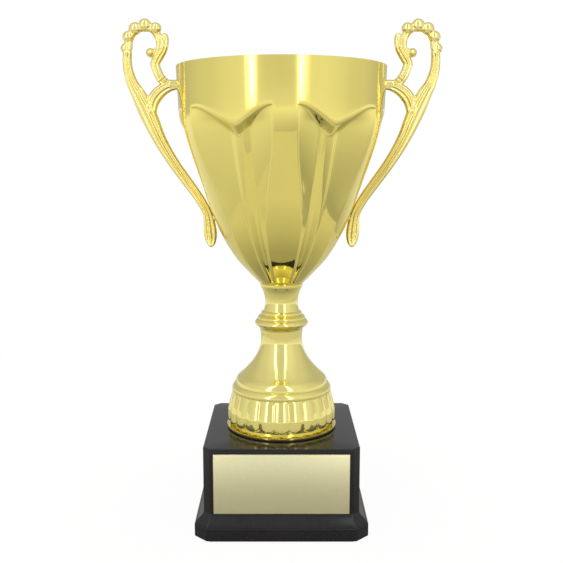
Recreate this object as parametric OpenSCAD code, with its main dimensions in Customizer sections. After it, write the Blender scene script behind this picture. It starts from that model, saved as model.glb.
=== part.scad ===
// Two-handled cup trophy on a square plinth, in millimetres.
// The origin is the centre of the felt's underside, +Z is up and the name plate faces -Y.
// A tie rod runs from the nut under the ballast block, through the plinth, the bell and the
// neck, to the cap nut inside the bowl, and holds the stack together.

/* [Plinth] */
// Width of the plinth's upper block across its flat sides
plinth_w = 103; // [94:0.5:126]
// How far the plinth's bottom slab stands out past the upper block
slab_overhang = 6; // [4:0.5:10]
// Height of the plinth from the felt to its top face
plinth_h = 60.5; // [52:0.5:74]
// Height of the straight sides of the bottom slab
slab_h = 8.8; // [6:0.2:12]
// Height of the curved flare between the slab and the upper block
flare_h = 7.7; // [5:0.1:10]
// Width of the clipped corner of the upper block, measured along a side
block_clip = 4.5; // [2:0.5:8]
// Width of the clipped corner of the slab, measured along a side
slab_clip = 8.5; // [4:0.5:12]
// Rounding of the plinth's top and slab edges
edge_round = 0.8; // [0.4:0.1:1.6]
// Wall of the hollow plinth
plinth_wall = 3; // [2:0.5:5]
// Thickness of the plinth's top
plinth_top_t = 3.5; // [2.5:0.5:6]

/* [Plinth fittings] */
// Thickness of the felt under the plinth
felt_t = 1; // [0.6:0.1:2]
// How far the felt's edge stays inside the slab's edge
felt_inset = 2; // [1:0.5:4]
// Thickness of the hardboard cover that closes the plinth
cover_t = 2.5; // [2:0.5:4]
// Width of the ledge that the cover seats on
cover_ledge = 4; // [3:0.5:6]
// Gap between the square ballast block and the plinth's walls
ballast_gap = 8.5; // [4:0.5:16]
// Height of the ballast block
ballast_h = 28; // [18:1:32]
// Margin between the name plate and the block's clipped corners
plate_side_margin = 2.5; // [1:0.5:10]
// Margin between the name plate and the block's rounded top edge
plate_top_margin = 2.4; // [1:0.1:8]
// Margin between the name plate and the flare below it
plate_low_margin = 0.3; // [0.2:0.1:6]
// Thickness of the name plate
plate_t = 0.8; // [0.5:0.1:1.5]
// Thickness of the adhesive sheet behind the name plate
adhesive_t = 0.2; // [0.1:0.1:0.5]

/* [Stem] */
// Thickness of the soft ring between the plinth and the foot
ring_t = 0.6; // [0.4:0.1:1.5]
// Diameter of the foot's flange
foot_d = 77; // [66:1:88]
// Thickness of the foot's flange
flange_t = 1.6; // [1.2:0.2:3]
// Height of the bell from the flange's underside to its top
bell_h = 68; // [58:0.5:80]
// Number of rounded lobes round the foot
lobes = 22; // [16:1:28]
// Height of the rounded lobes
lobe_h = 21; // [14:0.5:24]
// Diameter of the bell's waist
waist_d = 28.4; // [24:0.2:34]
// Wall of the bell
bell_wall = 2; // [1.5:0.1:3]
// Height of the neck between the bell and the bowl
neck_h = 33; // [28:0.5:40]
// Diameter of the widest collar of the neck
collar_d = 36.8; // [32:0.2:44]
// Diameter of the narrowest part of the neck
throat_d = 22.6; // [20:0.2:26]

/* [Bowl] */
// Diameter of the bowl's rim
rim_d = 140; // [118:1:168]
// Height of the bowl from its seat to its rim
bowl_h = 145; // [122:1:174]
// Height of the plain band under the rim
band_h = 30; // [20:1:40]
// Depth of the step from the plain band to the fluted body
step_d = 4; // [2:0.5:6]
// Diameter of the flat seat under the bowl
seat_d = 29.2; // [26:0.2:34]
// Thickness of the bowl's wall
bowl_wall = 0.8; // [0.6:0.1:1.2]

/* [Handles] */
// Depth of a handle from front to back
handle_t = 7; // [5:0.5:9]
// Height of the upper handle screw below the rim
upper_drop = 11; // [8:0.5:14]
// Height of the lower handle screw above the bowl's seat
lower_rise = 45; // [38:0.5:52]
// Diameter of the screw bosses
boss_d = 8; // [7:0.5:10]
// Length of the screw bosses
boss_l = 5; // [4:0.5:7]

/* [Fasteners] */
// Diameter of the tie rod
rod_d = 6; // [5:1:8]
// Diameter of the handle screws
screw_d = 3; // [2.5:0.5:4]
// Diameter of the cover screws
cover_screw_d = 3; // [2.5:0.5:4]
// Clearance all round the rod and the screws where they only pass through
clearance = 0.3; // [0.2:0.05:0.5]
// Thickness of the flat washers on the tie rod
washer_t = 1.6; // [1:0.2:2.4]
// Diameter of the clamp washer inside the bowl
clamp_d = 22; // [16:1:24]

/* [Hidden] */
$fn = 64;

gold = [0.86, 0.76, 0.38];
bright_gold = [0.93, 0.84, 0.42];
plate_gold = [0.84, 0.79, 0.55];
gloss_black = [0.16, 0.155, 0.16];
steel = [0.72, 0.73, 0.75];
felt_black = [0.10, 0.10, 0.10];

eps = 0.01;
rod_r = rod_d / 2;
pass_r = rod_r + clearance;

// Heights of the stack, each resting on the one before
plinth_z = felt_t;
plinth_top = plinth_z + plinth_h;
bell_z = plinth_top + ring_t;
neck_z = bell_z + bell_h;
bowl_z = neck_z + neck_h;
rim_z = bowl_z + bowl_h;

// ---- Curves -------------------------------------------------------------------------------

function mix(a, b, t) = a + (b - a) * t;
function unit(v) = v / norm(v);
function normal_of(v) = [v[1], -v[0]];

// One point of a Catmull-Rom curve between b and c
function blend_point(a, b, c, d, t) =
    0.5 * (2 * b + (c - a) * t + (2 * a - 5 * b + 4 * c - d) * t * t
           + (3 * b - a - 3 * c + d) * t * t * t);

// A smooth curve through a list of points, with a number of steps for each span
function smooth(p, steps) = concat(
    [for (i = [0 : len(p) - 2]) for (s = [0 : steps - 1])
        blend_point(p[max(i - 1, 0)], p[i], p[i + 1], p[min(i + 2, len(p) - 1)], s / steps)],
    [p[len(p) - 1]]);

// A round bulge between two points of a turned profile, the height of the bulge to its right
function bulge(a, b, height, steps = 6) =
    [for (i = [0 : steps])
        mix(a, b, i / steps) + unit(normal_of(b - a)) * height * sin(180 * i / steps)];

// A curve moved to its left by the thickness of a wall
function inside(p, wall) =
    [for (i = [0 : len(p) - 1])
        p[i] - unit(normal_of(p[min(i + 1, len(p) - 1)] - p[max(i - 1, 0)])) * wall];

// ---- Bowl ---------------------------------------------------------------------------------

rim_r = rim_d / 2;
seat_r = seat_d / 2;
band_slope = 1.4;
band_r = rim_r - band_slope;
body_r = band_r - step_d;
step_h = 7;
body_top = bowl_h - band_h - step_h;
// The body's curve, as shares of its width and height above the seat
body_curve = [[0, 0], [0.166, 0.079], [0.352, 0.177], [0.548, 0.331], [0.752, 0.565],
              [0.906, 0.806], [1, 1]];

bowl_outer = concat(
    smooth([for (p = body_curve) [mix(seat_r, body_r, p[0]), bowl_z + body_top * p[1]]], 4),
    bulge([body_r, bowl_z + body_top + eps], [band_r, rim_z - band_h], 0.6, 4),
    [[rim_r, rim_z]]);
bowl_inner = inside(bowl_outer, bowl_wall);
bowl_floor = bowl_z + bowl_wall;

outer_by_height = [for (p = bowl_outer) [p[1], p[0]]];
function bowl_r(z) = lookup(z, outer_by_height);
function bowl_lean(z) = atan((bowl_r(z + 1) - bowl_r(z - 1)) / 2);

module bowl_outside() {
    rotate_extrude() polygon(concat([[0, bowl_z]], bowl_outer, [[0, rim_z]]));
}

module bowl_hollow() {
    rim = bowl_inner[len(bowl_inner) - 1];
    wall_points = [for (p = bowl_inner) if (p[1] > bowl_floor) p];
    above_rim = rim_z + bowl_h;
    rotate_extrude()
        polygon(concat([[0, bowl_floor], [wall_points[0][0] - bowl_wall / 2, bowl_floor]],
                       wall_points, [[rim[0], above_rim], [0, above_rim]]));
}

module bowl() {
    color(gold) difference() {
        bowl_outside();
        bowl_hollow();
        translate([0, 0, bowl_z - eps]) cylinder(r = pass_r, h = bowl_wall + 2 * eps);
        screw_places() {
            cylinder(d = screw_d + 2 * clearance, h = 4 * bowl_wall, center = true);
            translate([0, 0, -3 * bowl_wall])
                cylinder(d = screw_washer_d + 2 * clearance, h = 2 * bowl_wall);
        }
    }
}

// ---- Handles ------------------------------------------------------------------------------

upper_z = rim_z - upper_drop;
lower_z = bowl_z + lower_rise;

// Places its children on the bowl's outside, with +Z along the wall's outward normal
module on_wall(z) {
    translate([bowl_r(z), 0, z]) rotate([0, 90 + bowl_lean(z), 0]) children();
}

module screw_places() {
    for (side = [0, 1]) mirror([side, 0, 0]) {
        on_wall(upper_z) children();
        on_wall(lower_z) children();
    }
}

// Points of the handle are [out, up, half width], from the lower screw on the bowl's wall.
// handle_span is where the upper screw lies in the same frame.
handle_span = [23.3, 89];
main_stroke = [[55, 112, 2.8], [55.4, 105, 3], [54.8, 98, 3.2], [52.7, 90, 3.8],
               [49.5, 82.5, 4.8], [45.3, 74, 5.7], [41.2, 64.5, 5.4], [37.3, 55.5, 4.6],
               [32.3, 46, 4.1], [25.4, 35, 3.7], [17.5, 24, 3.5], [9.7, 13, 3.3],
               [4.8, 4, 3.3], [3.4, -3, 4], [2.7, -10.5, 4.6], [2.3, -16.5, 3.4],
               [2.3, -20.2, 1.2]];
loop_stroke = [[54.8, 110, 2.8], [54, 118, 2.8], [50.6, 124, 3], [44.5, 126.3, 3],
               [38.6, 125, 3], [35.2, 121, 2.6], [34.2, 116.5, 2], [36, 112, 1.6],
               [39.4, 110.4, 1.6]];
leaf_stroke = [[34, 123.5, 1], [31.9, 119, 3], [32, 113, 2.8], [35, 108, 3.3],
               [37.8, 103, 3.2], [37.3, 99.5, 3.1], [35.2, 94.5, 3.1], [32, 90.6, 3],
               [27.6, 89, 2.9], [18, 89, 2.8]];
arm_stroke = [[41, 71, 2.6], [39.4, 78, 3], [35.6, 83, 3], [31.4, 86.6, 3], [26.6, 88.4, 2.9],
              [18, 89, 2.8]];
crown_beads = [[58.3, 112.2, 2.4], [56.4, 120.4, 2.7], [51.4, 126.3, 2.9], [44.2, 128.7, 3],
               [36.4, 126.3, 2.7]];
curl_bead = [40.6, 109.4, 2.8];
stroke_steps = 4;

lower_point = [bowl_r(lower_z), lower_z];
upper_point = [bowl_r(upper_z), upper_z];
run = upper_point - lower_point;
fit_scale = norm(run) / norm(handle_span);
fit_turn = atan2(run[1], run[0]) - atan2(handle_span[1], handle_span[0]);

// Moves a handle point so that both screws meet the bowl's wall
function fitted(p) =
    [lower_point[0] + fit_scale * (p[0] * cos(fit_turn) - p[1] * sin(fit_turn)),
     lower_point[1] + fit_scale * (p[0] * sin(fit_turn) + p[1] * cos(fit_turn)),
     fit_scale * p[2]];

// A strip of changing width along a smooth curve
module stroke(points) {
    path = smooth([for (p = points) fitted(p)], stroke_steps);
    last = len(path) - 1;
    steps = [for (i = [0 : last]) path[min(i + 1, last)] - path[max(i - 1, 0)]];
    across = [for (i = [0 : last]) unit(normal_of([steps[i][0], steps[i][1]])) * path[i][2]];
    one_side = [for (i = [0 : last]) [path[i][0], path[i][1]] + across[i]];
    other_side = [for (i = [last : -1 : 0]) [path[i][0], path[i][1]] - across[i]];
    rotate([90, 0, 0]) linear_extrude(handle_t, center = true)
        polygon(concat(one_side, other_side));
}

module bead(p) {
    q = fitted(p);
    translate([q[0], 0, q[1]]) sphere(r = q[2]);
}

module handle() {
    color(bright_gold) difference() {
        union() {
            stroke(main_stroke);
            stroke(loop_stroke);
            stroke(leaf_stroke);
            stroke(arm_stroke);
            for (p = crown_beads) bead(p);
            curl = fitted(curl_bead);
            translate([curl[0], 0, curl[1]]) rotate([90, 0, 0])
                cylinder(r = curl[2], h = handle_t + 1, center = true);
            for (z = [upper_z, lower_z])
                on_wall(z) translate([0, 0, -1]) cylinder(d = boss_d, h = boss_l + 1);
        }
        bowl_outside();
        for (z = [upper_z, lower_z])
            on_wall(z) translate([0, 0, -1]) cylinder(d = screw_d, h = boss_l + 0.5);
    }
}

module handle_right() handle();

module handle_left() mirror([1, 0, 0]) handle();

screw_washer_t = 0.6;
screw_washer_d = 2.2 * screw_d;
screw_head_d = 1.9 * screw_d;
screw_head_h = 0.7 * screw_d;

// Flat washers on the flats that are pressed inside the bowl's wall
module handle_washers() {
    color(steel) screw_places()
        ring(screw_washer_d / 2, screw_d / 2 + clearance, -bowl_wall - screw_washer_t, screw_washer_t);
}

// Pan-head screws driven from inside the bowl into the handles' bosses
module handle_screws() {
    head_z = -bowl_wall - screw_washer_t;
    color(steel) screw_places() difference() {
        union() {
            translate([0, 0, head_z]) cylinder(d = screw_d, h = boss_l - 1 - head_z);
            translate([0, 0, head_z - screw_head_h + 0.6])
                cylinder(d = screw_head_d, h = screw_head_h - 0.6);
            translate([0, 0, head_z - screw_head_h])
                cylinder(d1 = 0.7 * screw_head_d, d2 = screw_head_d, h = 0.6);
        }
        for (turn = [0, 90]) rotate([0, 0, turn])
            translate([0, 0, head_z - screw_head_h])
                cube([0.6 * screw_head_d, 0.6, 1.6], center = true);
    }
}

// ---- Tie rod and what it clamps -----------------------------------------------------------

nut_af = 1.67 * rod_d;
nut_r = nut_af / 2 / cos(30);
nut_h = 0.83 * rod_d;
cap_h = 1.6 * rod_d;
rod_past_nut = 3;

ballast_top = plinth_top - plinth_top_t;
ballast_z = ballast_top - ballast_h;
washer_z = ballast_z - washer_t;
lock_z = washer_z - washer_t;
nut_z = lock_z - nut_h;
clamp_t = 1.2;
clamp_z = bowl_floor;
cap_z = clamp_z + clamp_t;
rod_bottom = nut_z - rod_past_nut;
rod_top = cap_z + cap_h - 2;

module ring(outer_r, inner_r, z, h) {
    translate([0, 0, z]) difference() {
        cylinder(r = outer_r, h = h);
        translate([0, 0, -eps]) cylinder(r = inner_r, h = h + 2 * eps);
    }
}

module clamp_washer() color(steel) ring(clamp_d / 2, pass_r, clamp_z, clamp_t);

// Domed nut that closes the rod's upper end inside the bowl
module cap_nut() {
    dome_r = 0.46 * nut_af;
    color(steel) translate([0, 0, cap_z]) difference() {
        union() {
            cylinder(r = nut_r, h = nut_h, $fn = 6);
            cylinder(r = dome_r, h = cap_h - dome_r);
            translate([0, 0, cap_h - dome_r]) sphere(r = dome_r);
        }
        translate([0, 0, -eps]) cylinder(r = rod_r, h = rod_top - cap_z + eps);
    }
}

module tie_rod() {
    color(steel) translate([0, 0, rod_bottom]) cylinder(r = rod_r, h = rod_top - rod_bottom);
}

module rod_washer() color(steel) ring(1.5 * rod_d, pass_r, washer_z, washer_t);

// Split spring washer
module lock_washer() {
    color(steel) difference() {
        ring(rod_d, pass_r, lock_z, washer_t);
        translate([0, -0.5, lock_z - eps]) cube([2 * rod_d, 1, washer_t + 2 * eps]);
    }
}

module rod_nut() {
    color(steel) translate([0, 0, nut_z]) difference() {
        cylinder(r = nut_r, h = nut_h, $fn = 6);
        translate([0, 0, -eps]) cylinder(r = rod_r, h = nut_h + 2 * eps);
    }
}

// ---- Neck ---------------------------------------------------------------------------------

throat_r = throat_d / 2;
collar_r = collar_d / 2;
neck_foot_r = waist_d / 2 + 0.6;
neck_web = 3;
neck_bore_r = 8;

// Profile of the neck from the joint with the bell up to the bowl's seat
neck_profile = concat(
    bulge([neck_foot_r, neck_z], [neck_foot_r + 1.4, neck_z + 3], -0.4, 3),
    bulge([collar_r - 1.6, neck_z + 3.4], [collar_r - 1.4, neck_z + 8], 1.6),
    bulge([mix(throat_r, collar_r, 0.7), neck_z + 8.3],
          [mix(throat_r, collar_r, 0.6), neck_z + 10.6], 0.5, 4),
    bulge([mix(throat_r, collar_r, 0.35), neck_z + 10.9],
          [mix(throat_r, collar_r, 0.3), neck_z + 13.6], 0.6, 4),
    smooth([[mix(throat_r, collar_r, 0.18), neck_z + 14.2], [throat_r, neck_z + 20.4],
            [mix(throat_r, seat_r, 0.35), neck_z + neck_h - 6.3],
            [seat_r - 0.2, neck_z + neck_h - 2]], 4),
    [[seat_r, neck_z + neck_h - 1.6], [seat_r, neck_z + neck_h]]);

module stem_neck() {
    color(gold) difference() {
        rotate_extrude() polygon(concat([[0, neck_z]], neck_profile, [[0, bowl_z]]));
        translate([0, 0, neck_z - eps]) cylinder(r = pass_r, h = neck_h);
        translate([0, 0, neck_z + neck_web]) cylinder(r = neck_bore_r, h = neck_h);
    }
}

// ---- Bell ---------------------------------------------------------------------------------

foot_r = foot_d / 2;
waist_r = waist_d / 2;
lobe_r = PI * (foot_r - 6) / lobes * 1.17;
lobe_ring = foot_r - 1 - lobe_r;
core_r = foot_r - 3.7;
lobe_z = bell_z + flange_t + 3;
lobe_top = lobe_z + lobe_h;
lobe_tilt = 8;
shoulder_r = foot_r - 9.6;
shoulder_z = lobe_top + 11.5;
bell_rise = neck_z - shoulder_z;
bell_web = 6;

// Lower edge, flange, lobed drum, two beads and the flared bell, from bottom to top
bell_foot = [[foot_r - 0.6, bell_z], [foot_r, bell_z + 0.4], [foot_r, bell_z + flange_t],
             [core_r, bell_z + flange_t + 0.4], [core_r, lobe_z + 7], [core_r - 1.3, lobe_top]];
bell_beads = concat(
    bulge([foot_r - 3.5, lobe_top], [foot_r - 5.6, lobe_top + 5], 0.8),
    bulge([foot_r - 6.1, lobe_top + 5.3], [foot_r - 9.1, lobe_top + 11.2], 0.8));
// The bell's curve, as shares of its spread and of its rise above the shoulder
bell_shape = [[1, 0], [0.78, 0.1], [0.43, 0.29], [0.19, 0.48], [0.03, 0.69], [0, 0.84], [0.03, 1]];
bell_curve = smooth([for (p = bell_shape)
                        [mix(waist_r, shoulder_r, p[0]), shoulder_z + bell_rise * p[1]]], 4);

module stem_bell() {
    cavity_r = core_r - bell_wall;
    inner_curve = [for (p = inside(bell_curve, bell_wall)) if (p[1] < neck_z - bell_web) p];
    hollow = concat([[0, bell_z - eps], [cavity_r, bell_z - eps], [cavity_r, lobe_top]],
                    inner_curve, [[0, inner_curve[len(inner_curve) - 1][1]]]);
    color(gold) difference() {
        union() {
            rotate_extrude()
                polygon(concat([[0, bell_z]], bell_foot, bell_beads, bell_curve, [[0, neck_z]]));
            for (i = [0 : lobes - 1]) rotate([0, 0, (i + 0.5) * 360 / lobes])
                translate([lobe_ring, 0, lobe_z + lobe_r]) rotate([0, -lobe_tilt, 0]) {
                    sphere(r = lobe_r);
                    cylinder(r = lobe_r, h = lobe_h - lobe_r);
                }
        }
        rotate_extrude() polygon(hollow);
        translate([0, 0, bell_z]) cylinder(r = pass_r, h = bell_h + eps);
    }
}

module foot_ring() color(felt_black) ring(foot_r - 1.2, core_r - bell_wall, plinth_top, ring_t);

// ---- Plinth -------------------------------------------------------------------------------

block_half = plinth_w / 2;
slab_half = block_half + slab_overhang;
slab_top = plinth_z + slab_h;
flare_top = slab_top + flare_h;
cavity_half = block_half - plinth_wall;
cover_top = plinth_z + cover_t;
boss_r = 5;
boss_at = cavity_half - boss_r + 1;
boss_top = cover_top + 18;

// Right half of the side's profile from bottom to top, as [half width, height]
side_profile = concat(
    [[slab_half, plinth_z], [slab_half, slab_top - edge_round]],
    [for (a = [30 : 30 : 60])
        [slab_half - edge_round * (1 - cos(a)), slab_top - edge_round * (1 - sin(a))]],
    [for (t = [0 : 1 / 8 : 1])
        [mix(slab_half - edge_round, block_half, t * t * (3 - 2 * t)), mix(slab_top, flare_top, t)]],
    [for (a = [0 : 30 : 90])
        [block_half - edge_round * (1 - cos(a)), plinth_top - edge_round * (1 - sin(a))]]);

// The clipped corner's width grows with the side from the block to the slab
function clip_at(half) =
    mix(block_clip, slab_clip, max(half - block_half, 0) / (slab_half - block_half));

// The corners of a square with clipped corners, counter-clockwise
function octagon(half, clip) =
    [for (turn = [0 : 90 : 270]) for (y = [clip - half, half - clip])
        [half * cos(turn) - y * sin(turn), half * sin(turn) + y * cos(turn)]];

// A square plate with clipped corners
module clipped_square(half, clip, z, h) {
    translate([0, 0, z]) linear_extrude(h) polygon(octagon(half, clip));
}

// A block whose clipped square follows a profile of [half width, height]
module moulded_block(profile) {
    sides = 8;
    top = len(profile) - 1;
    points = [for (p = profile) for (v = octagon(p[0], clip_at(p[0]))) [v[0], v[1], p[1]]];
    walls = [for (k = [0 : top - 1]) for (i = [0 : sides - 1])
                [k * sides + i, (k + 1) * sides + i,
                 (k + 1) * sides + (i + 1) % sides, k * sides + (i + 1) % sides]];
    base = [for (i = [0 : sides - 1]) i];
    lid = [for (i = [sides - 1 : -1 : 0]) top * sides + i];
    polyhedron(points, concat([base], walls, [lid]));
}

module at_corners() {
    for (x = [-1, 1]) for (y = [-1, 1]) translate([x * boss_at, y * boss_at, 0]) children();
}

module plinth() {
    color(gloss_black) difference() {
        moulded_block(side_profile);
        difference() {
            clipped_square(cavity_half, block_clip, plinth_z - eps, ballast_top - plinth_z + eps);
            at_corners() translate([0, 0, cover_top]) cylinder(r = boss_r, h = boss_top - cover_top);
        }
        clipped_square(cavity_half + cover_ledge, block_clip, plinth_z - eps, cover_t + eps);
        translate([0, 0, ballast_top - eps]) cylinder(r = pass_r, h = plinth_top_t + 2 * eps);
        at_corners() translate([0, 0, cover_top - eps])
            cylinder(d = cover_screw_d, h = cover_screw_l - cover_t + 1);
    }
}

module ballast_block() {
    half = cavity_half - ballast_gap;
    color([0.45, 0.45, 0.44]) difference() {
        clipped_square(half, block_clip, ballast_z, ballast_h);
        translate([0, 0, ballast_z - eps]) cylinder(r = pass_r, h = ballast_h + 2 * eps);
    }
}

cover_screw_l = 12;
cover_head_d = 2 * cover_screw_d;
cover_head_h = cover_screw_d / 2;

module bottom_cover() {
    color([0.45, 0.32, 0.20]) difference() {
        clipped_square(cavity_half + cover_ledge, block_clip, plinth_z, cover_t);
        at_corners() {
            translate([0, 0, plinth_z - eps]) cylinder(d = cover_screw_d, h = cover_t + 2 * eps);
            translate([0, 0, plinth_z])
                cylinder(d1 = cover_head_d, d2 = cover_screw_d, h = cover_head_h);
        }
    }
}

// Countersunk screws that hold the cover to the plinth's corner bosses
module cover_screws() {
    color(steel) at_corners() translate([0, 0, plinth_z]) difference() {
        union() {
            cylinder(d1 = cover_head_d, d2 = cover_screw_d, h = cover_head_h);
            cylinder(d = cover_screw_d, h = cover_screw_l);
        }
        for (turn = [0, 90]) rotate([0, 0, turn])
            cube([0.6 * cover_head_d, 0.6, 1.6], center = true);
    }
}

module felt_pad() {
    color(felt_black) clipped_square(slab_half - felt_inset, slab_clip, 0, felt_t);
}

// ---- Name plate ---------------------------------------------------------------------------

plate_half = block_half - block_clip - plate_side_margin;
plate_bottom = flare_top + plate_low_margin;
plate_top = plinth_top - edge_round - plate_top_margin;
adhesive_inset = 1;

// A sheet on the front face, inset from the plate's edges, its back at a distance from the face
module front_sheet(inset, out, t) {
    translate([inset - plate_half, -block_half - out - t, plate_bottom + inset])
        cube([2 * (plate_half - inset), t, plate_top - plate_bottom - 2 * inset]);
}

module name_plate() color(plate_gold) front_sheet(0, adhesive_t, plate_t);

module plate_adhesive() color([0.9, 0.9, 0.88]) front_sheet(adhesive_inset, 0, adhesive_t);

bowl();
handle_left();
handle_right();
handle_screws();
handle_washers();
clamp_washer();
cap_nut();
stem_neck();
stem_bell();
foot_ring();
tie_rod();
plinth();
ballast_block();
rod_washer();
lock_washer();
rod_nut();
bottom_cover();
cover_screws();
felt_pad();
name_plate();
plate_adhesive();
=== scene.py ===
import math

import bpy
import numpy as np
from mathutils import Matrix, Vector


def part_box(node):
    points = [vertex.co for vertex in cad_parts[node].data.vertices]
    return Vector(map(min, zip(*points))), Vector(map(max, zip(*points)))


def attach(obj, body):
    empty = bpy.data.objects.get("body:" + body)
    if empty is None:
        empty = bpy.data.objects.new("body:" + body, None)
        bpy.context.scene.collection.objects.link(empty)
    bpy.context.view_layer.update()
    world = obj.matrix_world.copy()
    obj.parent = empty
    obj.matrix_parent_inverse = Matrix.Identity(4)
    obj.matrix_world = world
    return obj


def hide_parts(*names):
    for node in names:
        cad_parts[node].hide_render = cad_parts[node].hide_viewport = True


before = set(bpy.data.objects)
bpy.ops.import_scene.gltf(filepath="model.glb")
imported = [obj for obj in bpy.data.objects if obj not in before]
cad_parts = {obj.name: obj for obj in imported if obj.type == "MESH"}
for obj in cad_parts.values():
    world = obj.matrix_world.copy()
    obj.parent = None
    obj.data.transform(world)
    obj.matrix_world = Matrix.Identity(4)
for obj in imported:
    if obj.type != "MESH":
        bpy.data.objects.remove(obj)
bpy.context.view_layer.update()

bl_info = {
    "name": "Cup Trophy",
    "version": (1, 0, 0),
    "blender": (4, 5, 0),
    "location": "3D View > Sidebar > Trophy",
    "description": "Builds the looks of a two-handled cup trophy around its fixed frame",
    "category": "Add Mesh",
}

MM = 0.001
DOUBLES = 1e-6           # how close doubled vertices lie, in metres


# ---- Places taken from the frame, in millimetres ------------------------------------------------

def frame_box(node):
    """Lowest and highest corner of a node of the frame, in millimetres."""
    low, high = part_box(node)
    return low / MM, high / MM


BOWL_LOW, BOWL_HIGH = frame_box("bowl")
NECK_LOW, NECK_HIGH = frame_box("stem_neck")
BELL_LOW, BELL_HIGH = frame_box("stem_bell")
PLINTH_LOW, PLINTH_HIGH = frame_box("plinth")
PLATE_LOW, PLATE_HIGH = frame_box("name_plate")
COVER_HIGH = frame_box("bottom_cover")[1]

SEAT_Z = BOWL_LOW.z
RIM_Z = BOWL_HIGH.z
RIM_R = BOWL_HIGH.x
NECK_Z = NECK_LOW.z
BELL_Z = BELL_LOW.z
FOOT_R = BELL_HIGH.x


# ---- Curves -------------------------------------------------------------------------------------

def mix(a, b, t):
    return a + (b - a) * t


def smoothstep(low, high, x):
    t = np.clip((x - low) / (high - low), 0.0, 1.0)
    return t * t * (3 - 2 * t)


def smooth_curve(points, steps):
    """A Catmull-Rom curve through the points, with a number of steps for each span."""
    p = [np.array(q, float) for q in points]
    last = len(p) - 1
    curve = []
    for i in range(last):
        a, b, c, d = p[max(i - 1, 0)], p[i], p[i + 1], p[min(i + 2, last)]
        for s in range(steps):
            t = s / steps
            curve.append(0.5 * (2 * b + (c - a) * t + (2 * a - 5 * b + 4 * c - d) * t * t
                                + (3 * b - a - 3 * c + d) * t ** 3))
    return curve + [p[last]]


def bulge(a, b, height, steps=10):
    """A round bulge between two points of a turned profile, to the right of the way up."""
    a, b = np.array(a, float), np.array(b, float)
    way = (b - a) / np.linalg.norm(b - a)
    out = np.array([way[1], -way[0]])
    return [mix(a, b, i / steps) + out * height * math.sin(math.pi * i / steps) for i in range(steps + 1)]


def inside(points, wall):
    """A curve moved to its left by the thickness of a wall."""
    moved = []
    for i, p in enumerate(points):
        way = points[min(i + 1, len(points) - 1)] - points[max(i - 1, 0)]
        moved.append(p - np.array([way[1], -way[0]]) / np.linalg.norm(way) * wall)
    return moved


# ---- Working on objects -------------------------------------------------------------------------

def deselect():
    bpy.ops.object.select_all(action="DESELECT")


def select_only(*objects):
    deselect()
    for piece in objects:
        piece.select_set(True)
    bpy.context.view_layer.objects.active = objects[0]


def edit(piece):
    select_only(piece)
    bpy.ops.object.mode_set(mode="EDIT")
    bpy.ops.mesh.select_mode(type="VERT")


def leave_edit():
    bpy.ops.object.mode_set(mode="OBJECT")


def new_piece(name):
    """Names the object that an operator has just added."""
    piece = bpy.context.object
    piece.name = name
    piece.data.name = name
    return piece


def apply_place(piece):
    select_only(piece)
    bpy.ops.object.transform_apply(location=True, rotation=True, scale=True)


def apply_modifier(piece, kind, **settings):
    select_only(piece)
    modifier = piece.modifiers.new(kind.title(), kind)
    for key, value in settings.items():
        setattr(modifier, key, value)
    bpy.ops.object.modifier_apply(modifier=modifier.name)


def form(piece, shape):
    """Moves every vertex of a piece by a function of its x, y and z arrays."""
    count = len(piece.data.vertices)
    co = np.empty(count * 3)
    piece.data.vertices.foreach_get("co", co)
    co = co.reshape(-1, 3)
    made = np.stack(shape(co[:, 0], co[:, 1], co[:, 2]), axis=1)
    piece.data.vertices.foreach_set("co", made.ravel())
    piece.data.update()


def close_up(piece):
    """Merges doubled vertices, which closes seams and poles, and turns all faces outwards."""
    edit(piece)
    bpy.ops.mesh.select_all(action="SELECT")
    bpy.ops.mesh.remove_doubles(threshold=DOUBLES)
    bpy.ops.mesh.normals_make_consistent(inside=False)
    leave_edit()


def turned(name, profile, steps):
    """A solid turned from a closed profile of radius and height, in millimetres."""
    deselect()
    r, z = profile[0]
    bpy.ops.mesh.primitive_plane_add(size=MM, location=(r * MM, 0, z * MM))
    piece = new_piece(name)
    apply_place(piece)
    edit(piece)
    bpy.ops.mesh.select_all(action="SELECT")
    bpy.ops.mesh.merge(type="CENTER")
    for (r0, z0), (r1, z1) in zip(profile, profile[1:]):
        bpy.ops.mesh.extrude_vertices_move(
            TRANSFORM_OT_translate={"value": ((r1 - r0) * MM, 0, (z1 - z0) * MM)})
    bpy.ops.mesh.select_all(action="SELECT")
    bpy.ops.mesh.spin(steps=steps, angle=2 * math.pi, center=(0, 0, 0), axis=(0, 0, 1))
    leave_edit()
    close_up(piece)
    return piece


def sheet(name, across, along):
    """A flat blank, one unit each way, to be rolled and pressed into shape."""
    deselect()
    bpy.ops.mesh.primitive_grid_add(x_subdivisions=across, y_subdivisions=along, size=1)
    piece = new_piece(name)
    form(piece, lambda x, y, z: (x + 0.5, y + 0.5, z))
    return piece


def finish_piece(piece, material, nodes=(), sharp=30):
    """Shades a piece, gives it its material, ties it to the frame's root body and hides the frame nodes it
    replaces.
    """
    select_only(piece)
    bpy.ops.object.shade_smooth_by_angle(angle=math.radians(sharp))
    piece.data.materials.clear()
    piece.data.materials.append(material)
    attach(piece, "root")
    if nodes:
        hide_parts(*nodes)
    return piece


# ---- Materials ----------------------------------------------------------------------------------

def colour(rgb):
    return (rgb[0], rgb[1], rgb[2], 1.0)


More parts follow.
